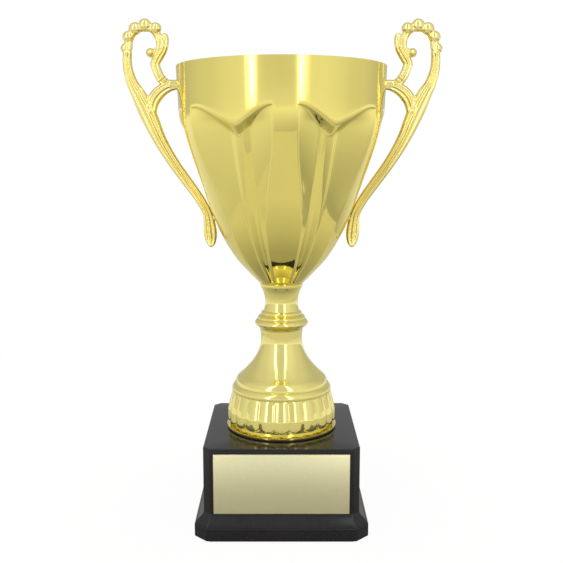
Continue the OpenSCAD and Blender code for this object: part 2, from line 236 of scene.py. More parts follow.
class Finish:
    """A node material with one Principled shader, read in object coordinates."""

    def __init__(self, name, rgb, metallic=0.0, roughness=0.5):
        self.material = bpy.data.materials.new(name)
        self.material.use_nodes = True
        self.nodes = self.material.node_tree.nodes
        self.links = self.material.node_tree.links
        self.shader = self.nodes["Principled BSDF"]
        self.shader.inputs["Base Color"].default_value = colour(rgb)
        self.shader.inputs["Metallic"].default_value = metallic
        self.shader.inputs["Roughness"].default_value = roughness
        self.place = self.nodes.new("ShaderNodeTexCoord").outputs["Object"]
        self.bumped = None

    def noise(self, scale, stretch=(1, 1, 1), detail=3.0, roughness=0.55):
        """A noise pattern with features about 1/scale metres across, stretched along an axis."""
        mapping = self.nodes.new("ShaderNodeMapping")
        mapping.inputs["Scale"].default_value = stretch
        self.links.new(self.place, mapping.inputs["Vector"])
        noise = self.nodes.new("ShaderNodeTexNoise")
        noise.inputs["Scale"].default_value = scale
        noise.inputs["Detail"].default_value = detail
        noise.inputs["Roughness"].default_value = roughness
        self.links.new(mapping.outputs["Vector"], noise.inputs["Vector"])
        return noise.outputs["Fac"]

    def spread(self, value, low, high, start=0.3, end=0.7):
        """Maps a pattern from start..end to low..high."""
        node = self.nodes.new("ShaderNodeMapRange")
        node.inputs["From Min"].default_value = start
        node.inputs["From Max"].default_value = end
        node.inputs["To Min"].default_value = low
        node.inputs["To Max"].default_value = high
        self.links.new(value, node.inputs["Value"])
        return node.outputs["Result"]

    def vary_colour(self, value, low, high, start=0.3, end=0.7):
        """Lets a pattern turn the colour from low to high."""
        ramp = self.nodes.new("ShaderNodeValToRGB")
        ramp.color_ramp.elements[0].position = start
        ramp.color_ramp.elements[0].color = colour(low)
        ramp.color_ramp.elements[1].position = end
        ramp.color_ramp.elements[1].color = colour(high)
        self.links.new(value, ramp.inputs["Fac"])
        self.links.new(ramp.outputs["Color"], self.shader.inputs["Base Color"])

    def vary_roughness(self, value, low, high):
        """Lets a pattern move the roughness from low to high."""
        self.links.new(self.spread(value, low, high), self.shader.inputs["Roughness"])

    def bump(self, value, height, strength=1.0):
        """Adds a pattern to the surface, its height in metres."""
        bump = self.nodes.new("ShaderNodeBump")
        bump.inputs["Strength"].default_value = strength
        bump.inputs["Distance"].default_value = height
        self.links.new(value, bump.inputs["Height"])
        if self.bumped:
            self.links.new(self.bumped, bump.inputs["Normal"])
        self.bumped = bump.outputs["Normal"]
        self.links.new(self.bumped, self.shader.inputs["Normal"])


def shade(rgb, factor):
    return tuple(min(c * factor, 1.0) for c in rgb)


def polished_gold(rgb):
    """Lacquered gold on spun sheet: faint spinning lines round the wall and soft handling marks."""
    finish = Finish("polished_gold", rgb, metallic=1.0, roughness=0.06)
    finish.vary_colour(finish.noise(22, detail=2), shade(rgb, 0.975), shade(rgb, 1.02))
    finish.vary_roughness(finish.noise(160, detail=4), 0.045, 0.085)
    finish.bump(finish.noise(900, stretch=(0.02, 0.02, 1), detail=2), 0.000004, 0.25)
    finish.bump(finish.noise(70, detail=1), 0.00006, 0.10)
    return finish.material


def turned_gold(rgb):
    """Gold plate on the turned stem, with fine lathe rings."""
    finish = Finish("turned_gold", rgb, metallic=1.0, roughness=0.07)
    finish.vary_colour(finish.noise(30, detail=2), shade(rgb, 0.97), shade(rgb, 1.02))
    finish.vary_roughness(finish.noise(220, detail=4), 0.05, 0.10)
    finish.bump(finish.noise(1400, stretch=(0.02, 0.02, 1), detail=2), 0.000004, 0.25)
    return finish.material


def cast_gold(rgb):
    """Bright gold on a die casting: a smooth skin, slightly darker and rougher in patches."""
    finish = Finish("cast_gold", rgb, metallic=1.0, roughness=0.08)
    finish.vary_colour(finish.noise(120, detail=3), shade(rgb, 0.95), shade(rgb, 1.03))
    finish.vary_roughness(finish.noise(90, detail=2), 0.07, 0.11)
    finish.bump(finish.noise(150, detail=1), 0.00005, 0.10)
    return finish.material


def satin_plate(rgb):
    """Anodised sheet with a very fine even grain and a faint brushed direction."""
    finish = Finish("satin_plate", rgb, metallic=1.0, roughness=0.3)
    grain = finish.noise(2600, detail=2, roughness=0.6)
    finish.vary_colour(grain, shade(rgb, 0.90), shade(rgb, 1.05), 0.25, 0.75)
    finish.vary_roughness(finish.noise(1800, detail=3), 0.30, 0.38)
    finish.bump(finish.noise(2400, stretch=(0.15, 1, 1), detail=2), 0.000005, 0.3)
    return finish.material


def gloss_moulding(rgb):
    """Moulded gloss black with faint flow marks, dust and rub marks."""
    finish = Finish("gloss_moulding", rgb, roughness=0.11)
    finish.shader.inputs["Specular IOR Level"].default_value = 0.34
    finish.vary_colour(finish.noise(60, detail=4), shade(rgb, 0.85), shade(rgb, 1.15))
    finish.vary_roughness(finish.noise(240, detail=5, roughness=0.7), 0.09, 0.20)
    finish.bump(finish.noise(45, detail=1), 0.0002, 0.06)
    return finish.material


def zinc_steel(rgb):
    """Zinc plate on steel, with faint drawing lines and handling marks."""
    finish = Finish("zinc_steel", rgb, metallic=1.0, roughness=0.3)
    finish.vary_colour(finish.noise(500, detail=4), shade(rgb, 0.85), shade(rgb, 1.08))
    finish.vary_roughness(finish.noise(900, detail=4), 0.22, 0.42)
    finish.bump(finish.noise(2200, stretch=(1, 1, 0.1), detail=2), 0.00002, 0.3)
    return finish.material


def rough_casting(rgb):
    """Unpainted cast iron, grainy and uneven in tone."""
    finish = Finish("rough_casting", rgb, metallic=0.9, roughness=0.65)
    finish.vary_colour(finish.noise(180, detail=6), shade(rgb, 0.7), shade(rgb, 1.2))
    finish.vary_roughness(finish.noise(500, detail=4), 0.55, 0.8)
    finish.bump(finish.noise(700, detail=6, roughness=0.7), 0.0003, 0.6)
    return finish.material


def pressed_board(rgb):
    """Pressed brown hardboard with short fibres."""
    finish = Finish("pressed_board", rgb, roughness=0.75)
    finish.vary_colour(finish.noise(900, stretch=(1, 0.4, 1), detail=6), shade(rgb, 0.7), shade(rgb, 1.25))
    finish.vary_roughness(finish.noise(600, detail=3), 0.65, 0.85)
    finish.bump(finish.noise(1100, detail=5), 0.0001, 0.5)
    return finish.material


def soft_felt(rgb):
    """Short black felt."""
    finish = Finish("soft_felt", rgb, roughness=0.95)
    finish.shader.inputs["Sheen Weight"].default_value = 0.4
    finish.vary_colour(finish.noise(1300, detail=6, roughness=0.7), shade(rgb, 0.6), shade(rgb, 1.6))
    finish.bump(finish.noise(2600, detail=6, roughness=0.75), 0.0002, 0.7)
    return finish.material


def foam_and_painted_shadow(rgb):
    """Closed-cell black foam ring; its black also paints the shadow line under the bell's flange."""
    finish = Finish("foam_and_painted_shadow", rgb, roughness=0.85)
    finish.vary_colour(finish.noise(2200, detail=3), shade(rgb, 0.7), shade(rgb, 1.3))
    finish.bump(finish.noise(3000, detail=3), 0.0001, 0.5)
    return finish.material


def adhesive_sheet(rgb):
    """Pale double-sided sheet, slightly uneven."""
    finish = Finish("adhesive_sheet", rgb, roughness=0.55)
    finish.vary_colour(finish.noise(700, detail=4), shade(rgb, 0.92), shade(rgb, 1.03))
    finish.bump(finish.noise(1600, detail=3), 0.00005, 0.4)
    return finish.material


# ---- Settings -----------------------------------------------------------------------------------

def length(name, description, default, low, high):
    """A length property, in millimetres."""
    return bpy.props.FloatProperty(name=name, description=description, default=default, min=low, max=high)


def tint(name, description, default):
    """A colour property."""
    return bpy.props.FloatVectorProperty(name=name, description=description, default=default,
                                         subtype="COLOR", size=3, min=0.0, max=1.0)


def angle(name, description, degrees):
    """An angle property, with its default in degrees."""
    return bpy.props.FloatProperty(name=name, description=description, default=math.radians(degrees),
                                   subtype="ANGLE")


class TrophyColours(bpy.types.PropertyGroup):
    bowl: tint("Bowl", "Colour of the bowl's gold", (0.86, 0.74, 0.21))
    stem: tint("Stem", "Colour of the stem's gold", (0.85, 0.75, 0.26))
    handles: tint("Handles", "Colour of the handles' gold", (0.92, 0.79, 0.31))
    plinth: tint("Plinth", "Colour of the moulded plinth", (0.010, 0.009, 0.010))
    plate: tint("Plate", "Colour of the name plate", (0.93, 0.88, 0.56))
    steel: tint("Steel", "Colour of the plated fasteners", (0.62, 0.63, 0.66))
    iron: tint("Iron", "Colour of the cast ballast", (0.16, 0.16, 0.17))
    board: tint("Board", "Colour of the hardboard cover", (0.30, 0.17, 0.09))
    felt: tint("Felt", "Colour of the felt", (0.020, 0.020, 0.022))
    # the ring's black is partly its own colour and partly a painted shadow line under the bell's flange
    foam_and_shadow: tint("Foam", "Colour of the soft ring under the foot", (0.018, 0.018, 0.018))
    adhesive: tint("Adhesive", "Colour of the adhesive sheet", (0.78, 0.77, 0.72))
    floor: tint("Floor", "Colour of the studio table", (0.70, 0.69, 0.64))


class TrophySizes(bpy.types.PropertyGroup):
    wall: length("Bowl wall", "Thickness of the bowl's sheet in millimetres", 0.8, 0.5, 1.5)
    front_petal: angle("Front petal", "Angle between the two ribs at the front", 52.7)
    front_turn: angle("Front turn", "How far the front petal is turned to the right", 2.0)
    arch_peak: length("Arch peak", "Depth of the arches' peaks below the rim in millimetres", 28.1, 20, 40)
    arch_drop: length("Arch drop", "Height from the arches' peaks to their low points in millimetres",
                      11.7, 5, 20)
    rib_depth: length("Rib depth", "How far the ribs stand out of the panels in millimetres", 2.3, 0.5, 3)
    rib_step: length("Middle rib step", "Height of the middle rib's edge in millimetres", 0.75, 0.2, 2)
    lobes: bpy.props.IntProperty(name="Lobes", description="Number of lobes round the foot",
                                 default=22, min=12, max=30)
    plinth_edge: length("Plinth edge", "Rounding of the plinth's edges in millimetres", 0.7, 0.2, 2)
    plate_edge: length("Plate edge", "Rounding of the plate's edges in millimetres", 0.25, 0.05, 0.35)
    grooves: length("Handle grooves", "Depth of the grooves along the handles in millimetres", 1.2, 0.1, 1.5)


# ---- Bowl ---------------------------------------------------------------------------------------

BAND_SLOPE = 1.4
BAND_H = 30
STEP_D = 4
STEP_H = 7
BAND_LOW_R = RIM_R - BAND_SLOPE
BODY_R = BAND_LOW_R - STEP_D
BODY_TOP = RIM_Z - BAND_H - STEP_H
SEAT_R = 14.6
ROD_HOLE_R = 3.3
BODY_CURVE = [(0, 0), (0.166, 0.079), (0.352, 0.177), (0.548, 0.331), (0.752, 0.565),
              (0.906, 0.806), (1, 1)]
BODY_POINTS = np.array(smooth_curve(
    [(mix(SEAT_R, BODY_R, r), mix(SEAT_Z, BODY_TOP, z)) for r, z in BODY_CURVE], 12))
BULGE_FOOT_Z = 225.0


def envelope(z):
    """Radius of the bowl's body at its ribs."""
    above = np.maximum(z - BODY_TOP, 0)
    return np.interp(z, BODY_POINTS[:, 1], BODY_POINTS[:, 0]) + above * STEP_D / STEP_H


def band(z):
    """Radius of the plain band under the rim."""
    return BAND_LOW_R + (z - (RIM_Z - BAND_H)) * BAND_SLOPE / BAND_H


def middle_rib(z):
    """Radius of the middle ribs: one smooth line from the band down to the envelope."""
    top_z, foot_z = RIM_Z - BAND_H, BULGE_FOOT_Z
    run = top_z - foot_z
    t = np.clip((z - foot_z) / run, 0, 1)
    foot_slope = float(envelope(foot_z + 1) - envelope(foot_z - 1)) / 2
    top_slope = BAND_SLOPE / BAND_H
    hermite = ((2 * t ** 3 - 3 * t ** 2 + 1) * envelope(foot_z) + (t ** 3 - 2 * t ** 2 + t) * run * foot_slope
               + (-2 * t ** 3 + 3 * t ** 2) * BAND_LOW_R + (t ** 3 - t ** 2) * run * top_slope)
    return np.where(z < foot_z, envelope(z), np.where(z > top_z, band(z), hermite))


class Relief:
    """The pressed pattern of the bowl: petals between V ribs, each with an arch and a middle rib."""

    CREST = 2.0      # half width of a V rib's crest, in degrees
    FOOT = 6.4       # where its side meets the panel
    BLEND = 0.9      # width of the middle rib's edge
    LEDGE_EASE = 0.2     # 0 for a straight ledge, 1 for one that is eased into both edges

    def __init__(self, sizes):
        self.sizes = sizes
        front = math.degrees(sizes.front_petal)
        other = (360 - front) / 4
        turn = math.degrees(sizes.front_turn)
        self.petals = []
        start = turn - front / 2
        for width in [front] + [other] * 4:
            self.petals.append((start + width / 2, width / 2))
            start += width
        self.front_half = front / 2

    def arch_share(self, a, half):
        """0 round an arch's peak, rising to 1 at its low points."""
        equal = a * self.front_half / half
        return smoothstep(7.5, 28.5, equal) / smoothstep(7.5, 28.5, self.front_half)

    def arch_top(self, a, half):
        """Height of the arch's upper edge."""
        return RIM_Z - self.sizes.arch_peak - self.sizes.arch_drop * self.arch_share(a, half)

    def arch_foot(self, a, half):
        """Height of the ledge's lower edge."""
        return self.arch_top(a, half) - mix(0.8, 6.2, self.arch_share(a, half) ** 0.55)

    def rib_edge(self, z):
        """Half width of the middle rib, in degrees."""
        return mix(6.3, 13.5, smoothstep(262, 205, z))

    def rib_height(self, z):
        """How far the middle rib stands out of the panels beside it."""
        return self.sizes.rib_step * smoothstep(206, 226, z)

    def sunk(self, z):
        """How far the panels lie below the V ribs."""
        return self.sizes.rib_depth * np.interp(z, [163, 168, 185, 215, 262], [0, 0.32, 0.82, 0.95, 1])

    def body(self, a, half, z):
        """Radius of the fluted body at an angle from the petal's middle."""
        edge = self.rib_edge(z)
        middle, ribs = middle_rib(z), envelope(z)
        panel_start = edge + self.BLEND
        panel_end = half - self.FOOT
        t = np.clip((a - panel_start) / np.maximum(panel_end - panel_start, 0.1), 0, 1)
        near, far = middle - self.rib_height(z), ribs - self.sunk(z)
        span = np.radians(np.maximum(panel_end - panel_start, 0.1))
        flat = near * far * np.sin(span) / (near * np.sin(t * span) + far * np.sin((1 - t) * span))
        panel = mix(mix(near, far, t), flat, 0.5)
        rib = mix(middle, panel, smoothstep(0, 1, (a - edge) / self.BLEND))
        to_crest = smoothstep(0, 1, (a - panel_end) / (self.FOOT - self.CREST))
        crown = 0.12 * (1 - np.clip((half - a) / self.CREST, 0, 1) ** 2) * np.clip((z - 172) / 60, 0, 1)
        return mix(rib, ribs - 0.12 + crown, to_crest)

    def petal_at(self, azimuth):
        """Angle from the nearest petal's middle and that petal's half width, in degrees."""
        for centre, half in self.petals:
            away = (azimuth - centre + 180) % 360 - 180
            if abs(away) <= half + 1e-6:
                return abs(away), half
        raise ValueError(f"no petal covers {azimuth} degrees")

    def ledge(self, share, lip, top):
        """Radius of the ledge under an arch, from the panel's lip up to the band."""
        return mix(lip, band(top), mix(share, smoothstep(0, 1, share), self.LEDGE_EASE))

    def radius(self, a, half, z):
        """Outer radius of the whole bowl at any height."""
        top, foot = self.arch_top(a, half), self.arch_foot(a, half)
        share = np.clip((z - foot) / (top - foot), 0, 1)
        ledge = self.ledge(share, self.body(a, half, foot), top)
        return np.where(z > top, band(z), np.where(z < foot, self.body(a, half, z), ledge))


FLOOR_ROWS = 4
BODY_ROWS = 64
LEDGE_ROWS = 10
BAND_ROWS = 12
ROW_CROWDING = 0.9       # below 1, the rows lie a little closer together towards the top
PANEL_TOP_GUESS = 268    # first guess of the panels' upper end, in millimetres
HALF_COLUMNS = [(8, "rib"), (3, "edge"), (14, "panel"), (9, "side"), (4, "crest")]


def column_angle(relief, k, half, z):
    """Angle of a column of the blank from the petal's middle, following the ribs' edges."""
    edge = relief.rib_edge(z)
    stops = [0, edge, edge + relief.BLEND, half - relief.FOOT, half - relief.CREST, half]
    first = 0
    made = np.zeros_like(z)
    for i, (count, _) in enumerate(HALF_COLUMNS):
        t = np.clip((k - first) / count, 0, 1)
        made = np.where(k >= first, mix(stops[i], stops[i + 1], t), made)
        first += count
    return made


def press_bowl(relief):
    """The forming function: the blank's x runs round the bowl and its y runs up it."""
    half_columns = sum(count for count, _ in HALF_COLUMNS)
    columns = 2 * half_columns * len(relief.petals)
    rows = FLOOR_ROWS + BODY_ROWS + LEDGE_ROWS + BAND_ROWS

    def shape(x, y, z):
        column = np.rint(x * columns).astype(int) % columns
        row = np.rint(y * rows)
        petal = column // (2 * half_columns)
        centre = np.array([c for c, _ in relief.petals])[petal]
        half = np.array([h for _, h in relief.petals])[petal]
        within = column % (2 * half_columns) - half_columns
        side = np.sign(within)
        k = np.abs(within)
        rising = np.clip((row - FLOOR_ROWS) / BODY_ROWS, 0, 1) ** ROW_CROWDING
        foot = PANEL_TOP_GUESS
        for _ in range(4):
            a = column_angle(relief, k, half, mix(SEAT_Z, foot, rising))
            foot, top = relief.arch_foot(a, half), relief.arch_top(a, half)
        ledge_share = np.clip((row - FLOOR_ROWS - BODY_ROWS) / LEDGE_ROWS, 0, 1)
        band_share = np.clip((row - FLOOR_ROWS - BODY_ROWS - LEDGE_ROWS) / BAND_ROWS, 0, 1)
        height = mix(SEAT_Z, foot, rising)
        on_body = relief.body(a, half, height)
        ledge_r = relief.ledge(ledge_share, relief.body(a, half, foot), top)
        ledge_z = mix(foot, top, ledge_share)
        band_z = mix(top, RIM_Z, band_share)
        r = np.where(band_share > 0, band(band_z), np.where(ledge_share > 0, ledge_r, on_body))
        z = np.where(band_share > 0, band_z, np.where(ledge_share > 0, ledge_z, height))
        floor_share = np.clip(row / FLOOR_ROWS, 0, 1)
        r = np.where(row < FLOOR_ROWS, mix(ROD_HOLE_R, SEAT_R, floor_share), r)
        z = np.where(row < FLOOR_ROWS, SEAT_Z, z)
        azimuth = np.radians(centre + side * a)
        return r * np.sin(azimuth) * MM, -r * np.cos(azimuth) * MM, z * MM

    return columns, rows, shape


def soften(piece, low_z, high_z, passes):
    """Eases the pressed edges between two heights, as sheet metal bends."""
    edit(piece)
    bpy.ops.mesh.select_all(action="DESELECT")
    leave_edit()
    for vertex in piece.data.vertices:
        vertex.select = low_z < vertex.co.z / MM < high_z
    edit(piece)
    bpy.ops.mesh.vertices_smooth(factor=0.5, repeat=passes)
    leave_edit()


class TROPHY_OT_bowl(bpy.types.Operator):
    """Press the bowl's arches, ribs and panels into a spun shell"""
    bl_idname = "trophy.bowl"
    bl_label = "Bowl"

    def execute(self, context):
        sizes = context.scene.trophy_sizes
        relief = Relief(sizes)
        columns, rows, shape = press_bowl(relief)
        bowl = sheet("pressed_bowl", columns, rows)
        form(bowl, shape)
        close_up(bowl)
        soften(bowl, SEAT_Z + 20, RIM_Z - 12, 1)
        apply_modifier(bowl, "SOLIDIFY", thickness=sizes.wall * MM, offset=-1)
        finish_piece(bowl, polished_gold(context.scene.trophy_colours.bowl), ["bowl"], 50)
        return {"FINISHED"}


# ---- Handles ------------------------------------------------------------------------------------

UPPER_DROP = 11
LOWER_RISE = 45
HANDLE_SPAN = (23.3, 89)
MAIN_STROKE = [(55.8, 112, 2.8), (56.4, 105, 3), (55.8, 98, 3.2), (53.5, 90, 3.8),
               (49.5, 82.5, 4.8), (45.3, 74, 5.7), (41.2, 64.5, 5.4), (37.3, 55.5, 4.6),
               (32.3, 46, 4.1), (25.4, 35, 3.7), (17.5, 24, 3.5), (9.7, 13, 3.3),
               (4.8, 4, 3.3), (3.4, -3, 4), (2.7, -10.5, 4.6), (2.3, -16.5, 3.4),
               (2.3, -20.2, 1.2)]
LOOP_STROKE = [(55.7, 110, 2.8), (54.8, 118, 2.8), (51.2, 124.1, 3), (45, 126.3, 3),
               (39, 125.1, 3), (36, 121, 2.6), (35, 116.5, 2), (36, 112, 1.6),
               (39.4, 110.4, 1.6)]
LEAF_STROKE = [(31.6, 122.3, 1.8), (31.4, 119, 2.8), (32, 113, 2.8), (35, 108, 3.3),
               (37.8, 103, 3.2), (37.3, 99.5, 3.1), (35.2, 94.5, 3.1), (32, 90.6, 3),
               (27.6, 89, 2.9), (18, 89, 2.8)]
ARM_STROKE = [(41.4, 69, 3.4), (40.2, 77, 4.2), (36.8, 82.6, 4.4), (32.2, 86.2, 3.9), (26.6, 88.2, 3.2),
              (18, 89, 2.8)]
CROWN_BEADS = [(58.3, 112.2, 2.4), (56.4, 120.4, 2.7), (51.4, 126.3, 2.9), (44.2, 128.7, 3),
               (36.4, 126.3, 2.7)]
CURL_BEAD = (40.6, 109.4, 2.8)
# Height, radius and distance out of the wall of the bosses that take the screws
SCREW_BOSSES = [(RIM_Z - UPPER_DROP, 3.2, 1), (SEAT_Z + LOWER_RISE, 1.9, -2.5)]
BOSS_LENGTH = 9
VOXEL = 0.3              # grain of the casting that joins a handle's parts, in millimetres
SEAT_GAP = 0.02


def wall_point(z):
    """Point of the frame's bowl wall, in the plane of the handles."""
    radius = band(z) if z > RIM_Z - BAND_H else envelope(z)
    return np.array([float(radius), z])


class HandlePlan:
    """Maps handle points [out, up, half width] from the lower screw to their place."""

    def __init__(self):
        self.low = wall_point(SEAT_Z + LOWER_RISE)
        high = wall_point(RIM_Z - UPPER_DROP)
        run = high - self.low
        self.scale = np.linalg.norm(run) / math.hypot(*HANDLE_SPAN)
        self.turn = math.atan2(run[1], run[0]) - math.atan2(HANDLE_SPAN[1], HANDLE_SPAN[0])

    def point(self, p):
        c, s = math.cos(self.turn), math.sin(self.turn)
        return (self.low[0] + self.scale * (p[0] * c - p[1] * s),
                self.low[1] + self.scale * (p[0] * s + p[1] * c),
                self.scale * p[2])


def rolled_stroke(name, plan, points, depth, flutes, grooves, ribs=None, ring_steps=72, span_steps=12):
    """A bar that follows a stroke, fluted on its front and back, rounded at both ends.

    Cross ribs, if any, are given by their first and last place along the bar, in shares, and their number.
    """
    path = np.array(smooth_curve([plan.point(p) for p in points], span_steps))
    along = np.concatenate([[0], np.cumsum(np.linalg.norm(np.diff(path[:, :2], axis=0), axis=1))])
    rows = int(along[-1] / 0.35)
    way = np.gradient(path[:, :2], axis=0)
    way /= np.linalg.norm(way, axis=1)[:, None]
    bar = sheet(name, ring_steps, rows)

    def shape(x, y, z):
        s = y * along[-1]
        px, pz, half = (np.interp(s, along, path[:, i]) for i in range(3))
        tx, tz = np.interp(s, along, way[:, 0]), np.interp(s, along, way[:, 1])
        size = np.hypot(tx, tz)
        tx, tz = tx / size, tz / size
        end = np.minimum(s, along[-1] - s)
        round_end = np.sqrt(np.clip(1 - (1 - np.clip(end / (0.8 * half), 0, 1)) ** 2, 0, 1))
        turn = 2 * math.pi * x
        across, out = np.cos(turn), np.sin(turn)
        face = np.sign(out) * np.abs(out) ** 0.75
        groove = 0.5 + 0.5 * np.cos(math.pi * (2 * flutes * (across + 1) / 2))
        fade = smoothstep(1.0, 0.8, np.abs(across)) * smoothstep(0, 6, end)
        share = s / along[-1]
        thick = depth(share) - grooves * groove * fade
        if ribs:
            first, last, count = ribs
            within = smoothstep(first, first + 0.03, share) * smoothstep(last, last - 0.03, share)
            swell = 0.5 - 0.5 * np.cos(2 * math.pi * count * (share - first) / (last - first))
            thick = thick - 0.9 * within * (1 - swell)
            half = half * (1 + 0.10 * within * (swell - 0.5))
        side = half * across * round_end
        return ((px + tz * side) * MM, face * thick * round_end * MM, (pz - tx * side) * MM)

    form(bar, shape)
    close_up(bar)
    return bar


CROWN_CENTRE = (45, 115, 0)


def shell_bead(name, plan, p, depth, scale=1.45):
    """A rounded shell-like bead, enlarged towards the middle of the loop so that its outer edge stays."""
    x, z, r = plan.point(p)
    middle_x, middle_z, _ = plan.point(CROWN_CENTRE)
    reach = math.hypot(middle_x - x, middle_z - z)
    x += (middle_x - x) / reach * r * (scale - 1)
    z += (middle_z - z) / reach * r * (scale - 1)
    deselect()
    bpy.ops.mesh.primitive_uv_sphere_add(segments=32, ring_count=20, radius=r * scale * MM,
                                         location=(x * MM, 0, z * MM))
    bead = new_piece(name)
    bead.scale = (1, depth / (r * scale), 1)
    apply_place(bead)
    return bead


class TROPHY_OT_handles(bpy.types.Operator):
    """Model one scroll handle, fit it to the bowl's wall and mirror it"""
    bl_idname = "trophy.handles"
    bl_label = "Handles"

    def execute(self, context):
        sizes = context.scene.trophy_sizes
        relief = Relief(sizes)
        plan = HandlePlan()
        deep = sizes.grooves
        parts = [
            rolled_stroke("body", plan, MAIN_STROKE, lambda t: 3.4 - 0.4 * t, 3, deep),
            rolled_stroke("loop", plan, LOOP_STROKE, lambda t: 2.5 - 0.4 * t, 2, 0.7 * deep),
            rolled_stroke("leaf", plan, LEAF_STROKE, lambda t: 2.9 + 0.3 * t, 3, 0.8 * deep, (0.62, 0.86, 4)),
            rolled_stroke("arm", plan, ARM_STROKE, lambda t: 3.1, 3, 0.8 * deep),
        ]
        parts += [shell_bead("crown", plan, p, 3.2) for p in CROWN_BEADS]
        parts.append(shell_bead("curl", plan, CURL_BEAD, 4.2, 1.1))
        for screw_z, radius, out in SCREW_BOSSES:
            wall = wall_point(screw_z)
            deselect()
            bpy.ops.mesh.primitive_cylinder_add(
                vertices=48, radius=radius * MM, depth=BOSS_LENGTH * MM,
                location=((wall[0] + out) * MM, 0, wall[1] * MM), rotation=(0, math.pi / 2, 0))
            boss = new_piece("boss")
            apply_place(boss)
            parts.append(boss)
        select_only(*parts)
        bpy.ops.object.join()
        right = new_piece("scroll_handle_right")
        apply_modifier(right, "REMESH", mode="VOXEL", voxel_size=VOXEL * MM)
        apply_modifier(right, "SMOOTH", factor=0.5, iterations=12)

        def seat(x, y, z):
            height = z / MM
            azimuth = np.degrees(np.arctan2(x, -y))
            reach = np.hypot(x, y) / MM
            made = reach.copy()
            for i in range(len(x)):
                if reach[i] < RIM_R + 1 and height[i] < RIM_Z:
                    a, half = relief.petal_at(azimuth[i])
                    made[i] = max(reach[i], float(relief.radius(a, half, height[i])) + SEAT_GAP)
            grow = made / reach
            return x * grow, y * grow, z

        form(right, seat)
        select_only(right)
        bpy.ops.object.duplicate()
        left = new_piece("scroll_handle_left")
        form(left, lambda x, y, z: (-x, y, z))
        edit(left)
        bpy.ops.mesh.select_all(action="SELECT")
        bpy.ops.mesh.normals_make_consistent(inside=False)
        leave_edit()
        gold = cast_gold(context.scene.trophy_colours.handles)
        finish_piece(right, gold, ["handle_right"], 60)
        finish_piece(left, gold, ["handle_left"], 60)
        return {"FINISHED"}


# ---- Stem ---------------------------------------------------------------------------------------

WAIST_R = 14.2
BELL_H = NECK_Z - BELL_Z
THROAT_R = 11.3
COLLAR_R = NECK_HIGH.x
LOBE_H = 21
FLANGE_T = 1.6
BELL_WALL = 2
SHOULDER_R = FOOT_R - 9.6
CORE_R = FOOT_R - 4.4
LOBE_Z = BELL_Z + FLANGE_T + 3
LOBE_TOP = LOBE_Z + LOBE_H
SHOULDER_Z = LOBE_TOP + 11.5
BELL_SHAPE = [(1, 0), (0.78, 0.10), (0.43, 0.29), (0.19, 0.48), (0.03, 0.69), (0, 0.84), (0.03, 1)]


def rows_between(a, b, step):
    """Points on a straight line, no further apart than a step."""
    a, b = np.array(a, float), np.array(b, float)
    count = max(int(np.linalg.norm(b - a) / step), 1)
    return [mix(a, b, i / count) for i in range(count + 1)]


# How far the lobes' crests lie inside the flange's edge, by their height above the lobes' low ends
LOBE_CREST = [(0, 0.7), (2, 0.6), (8, 0.7), (12, 1.5), (16, 2.6), (19, 3.5), (21, 4.1)]
LOBE_VALLEY = 1.0
LOBE_END = 3.2


def lobed(lobes):
    """Presses the ring of rounded lobes into the bell's drum."""
    drum_low = BELL_Z + FLANGE_T + 0.4
    rise, inset = zip(*LOBE_CREST)

    def shape(x, y, z):
        r, height = np.hypot(x, y) / MM, z / MM
        off = 2 * np.abs((np.arctan2(y, x) * lobes / (2 * math.pi)) % 1 - 0.5)
        drum = (np.abs(r - CORE_R) < 0.05) & (height > drum_low - 0.01) & (height < LOBE_TOP + 0.01)
        low_end = LOBE_Z - 1.0 + LOBE_END * (1 - np.sqrt(np.maximum(1 - 0.97 * off ** 2, 0)))
        under = np.clip((height - drum_low) / (LOBE_Z - drum_low), 0, 1)
        over = np.clip((height - LOBE_Z) / (LOBE_TOP - LOBE_Z), 0, 1)
        lifted = np.where(height < LOBE_Z, mix(drum_low, low_end, under), mix(low_end, LOBE_TOP, over))
        crest = FOOT_R - np.interp(lifted - LOBE_Z, rise, inset) - LOBE_VALLEY * off ** 2.2
        ends = np.minimum((lifted - low_end) / 1.5, (LOBE_TOP + 0.1 - lifted) / 1.2)
        round_end = np.sqrt(np.clip(1 - (1 - np.clip(ends, 0, 1)) ** 2, 0, 1))
        made = np.where(drum, mix(CORE_R, np.maximum(crest, CORE_R), round_end), r)
        grow = made / np.maximum(r, 1e-9)
        return x * grow, y * grow, np.where(drum, lifted, height) * MM

    return shape


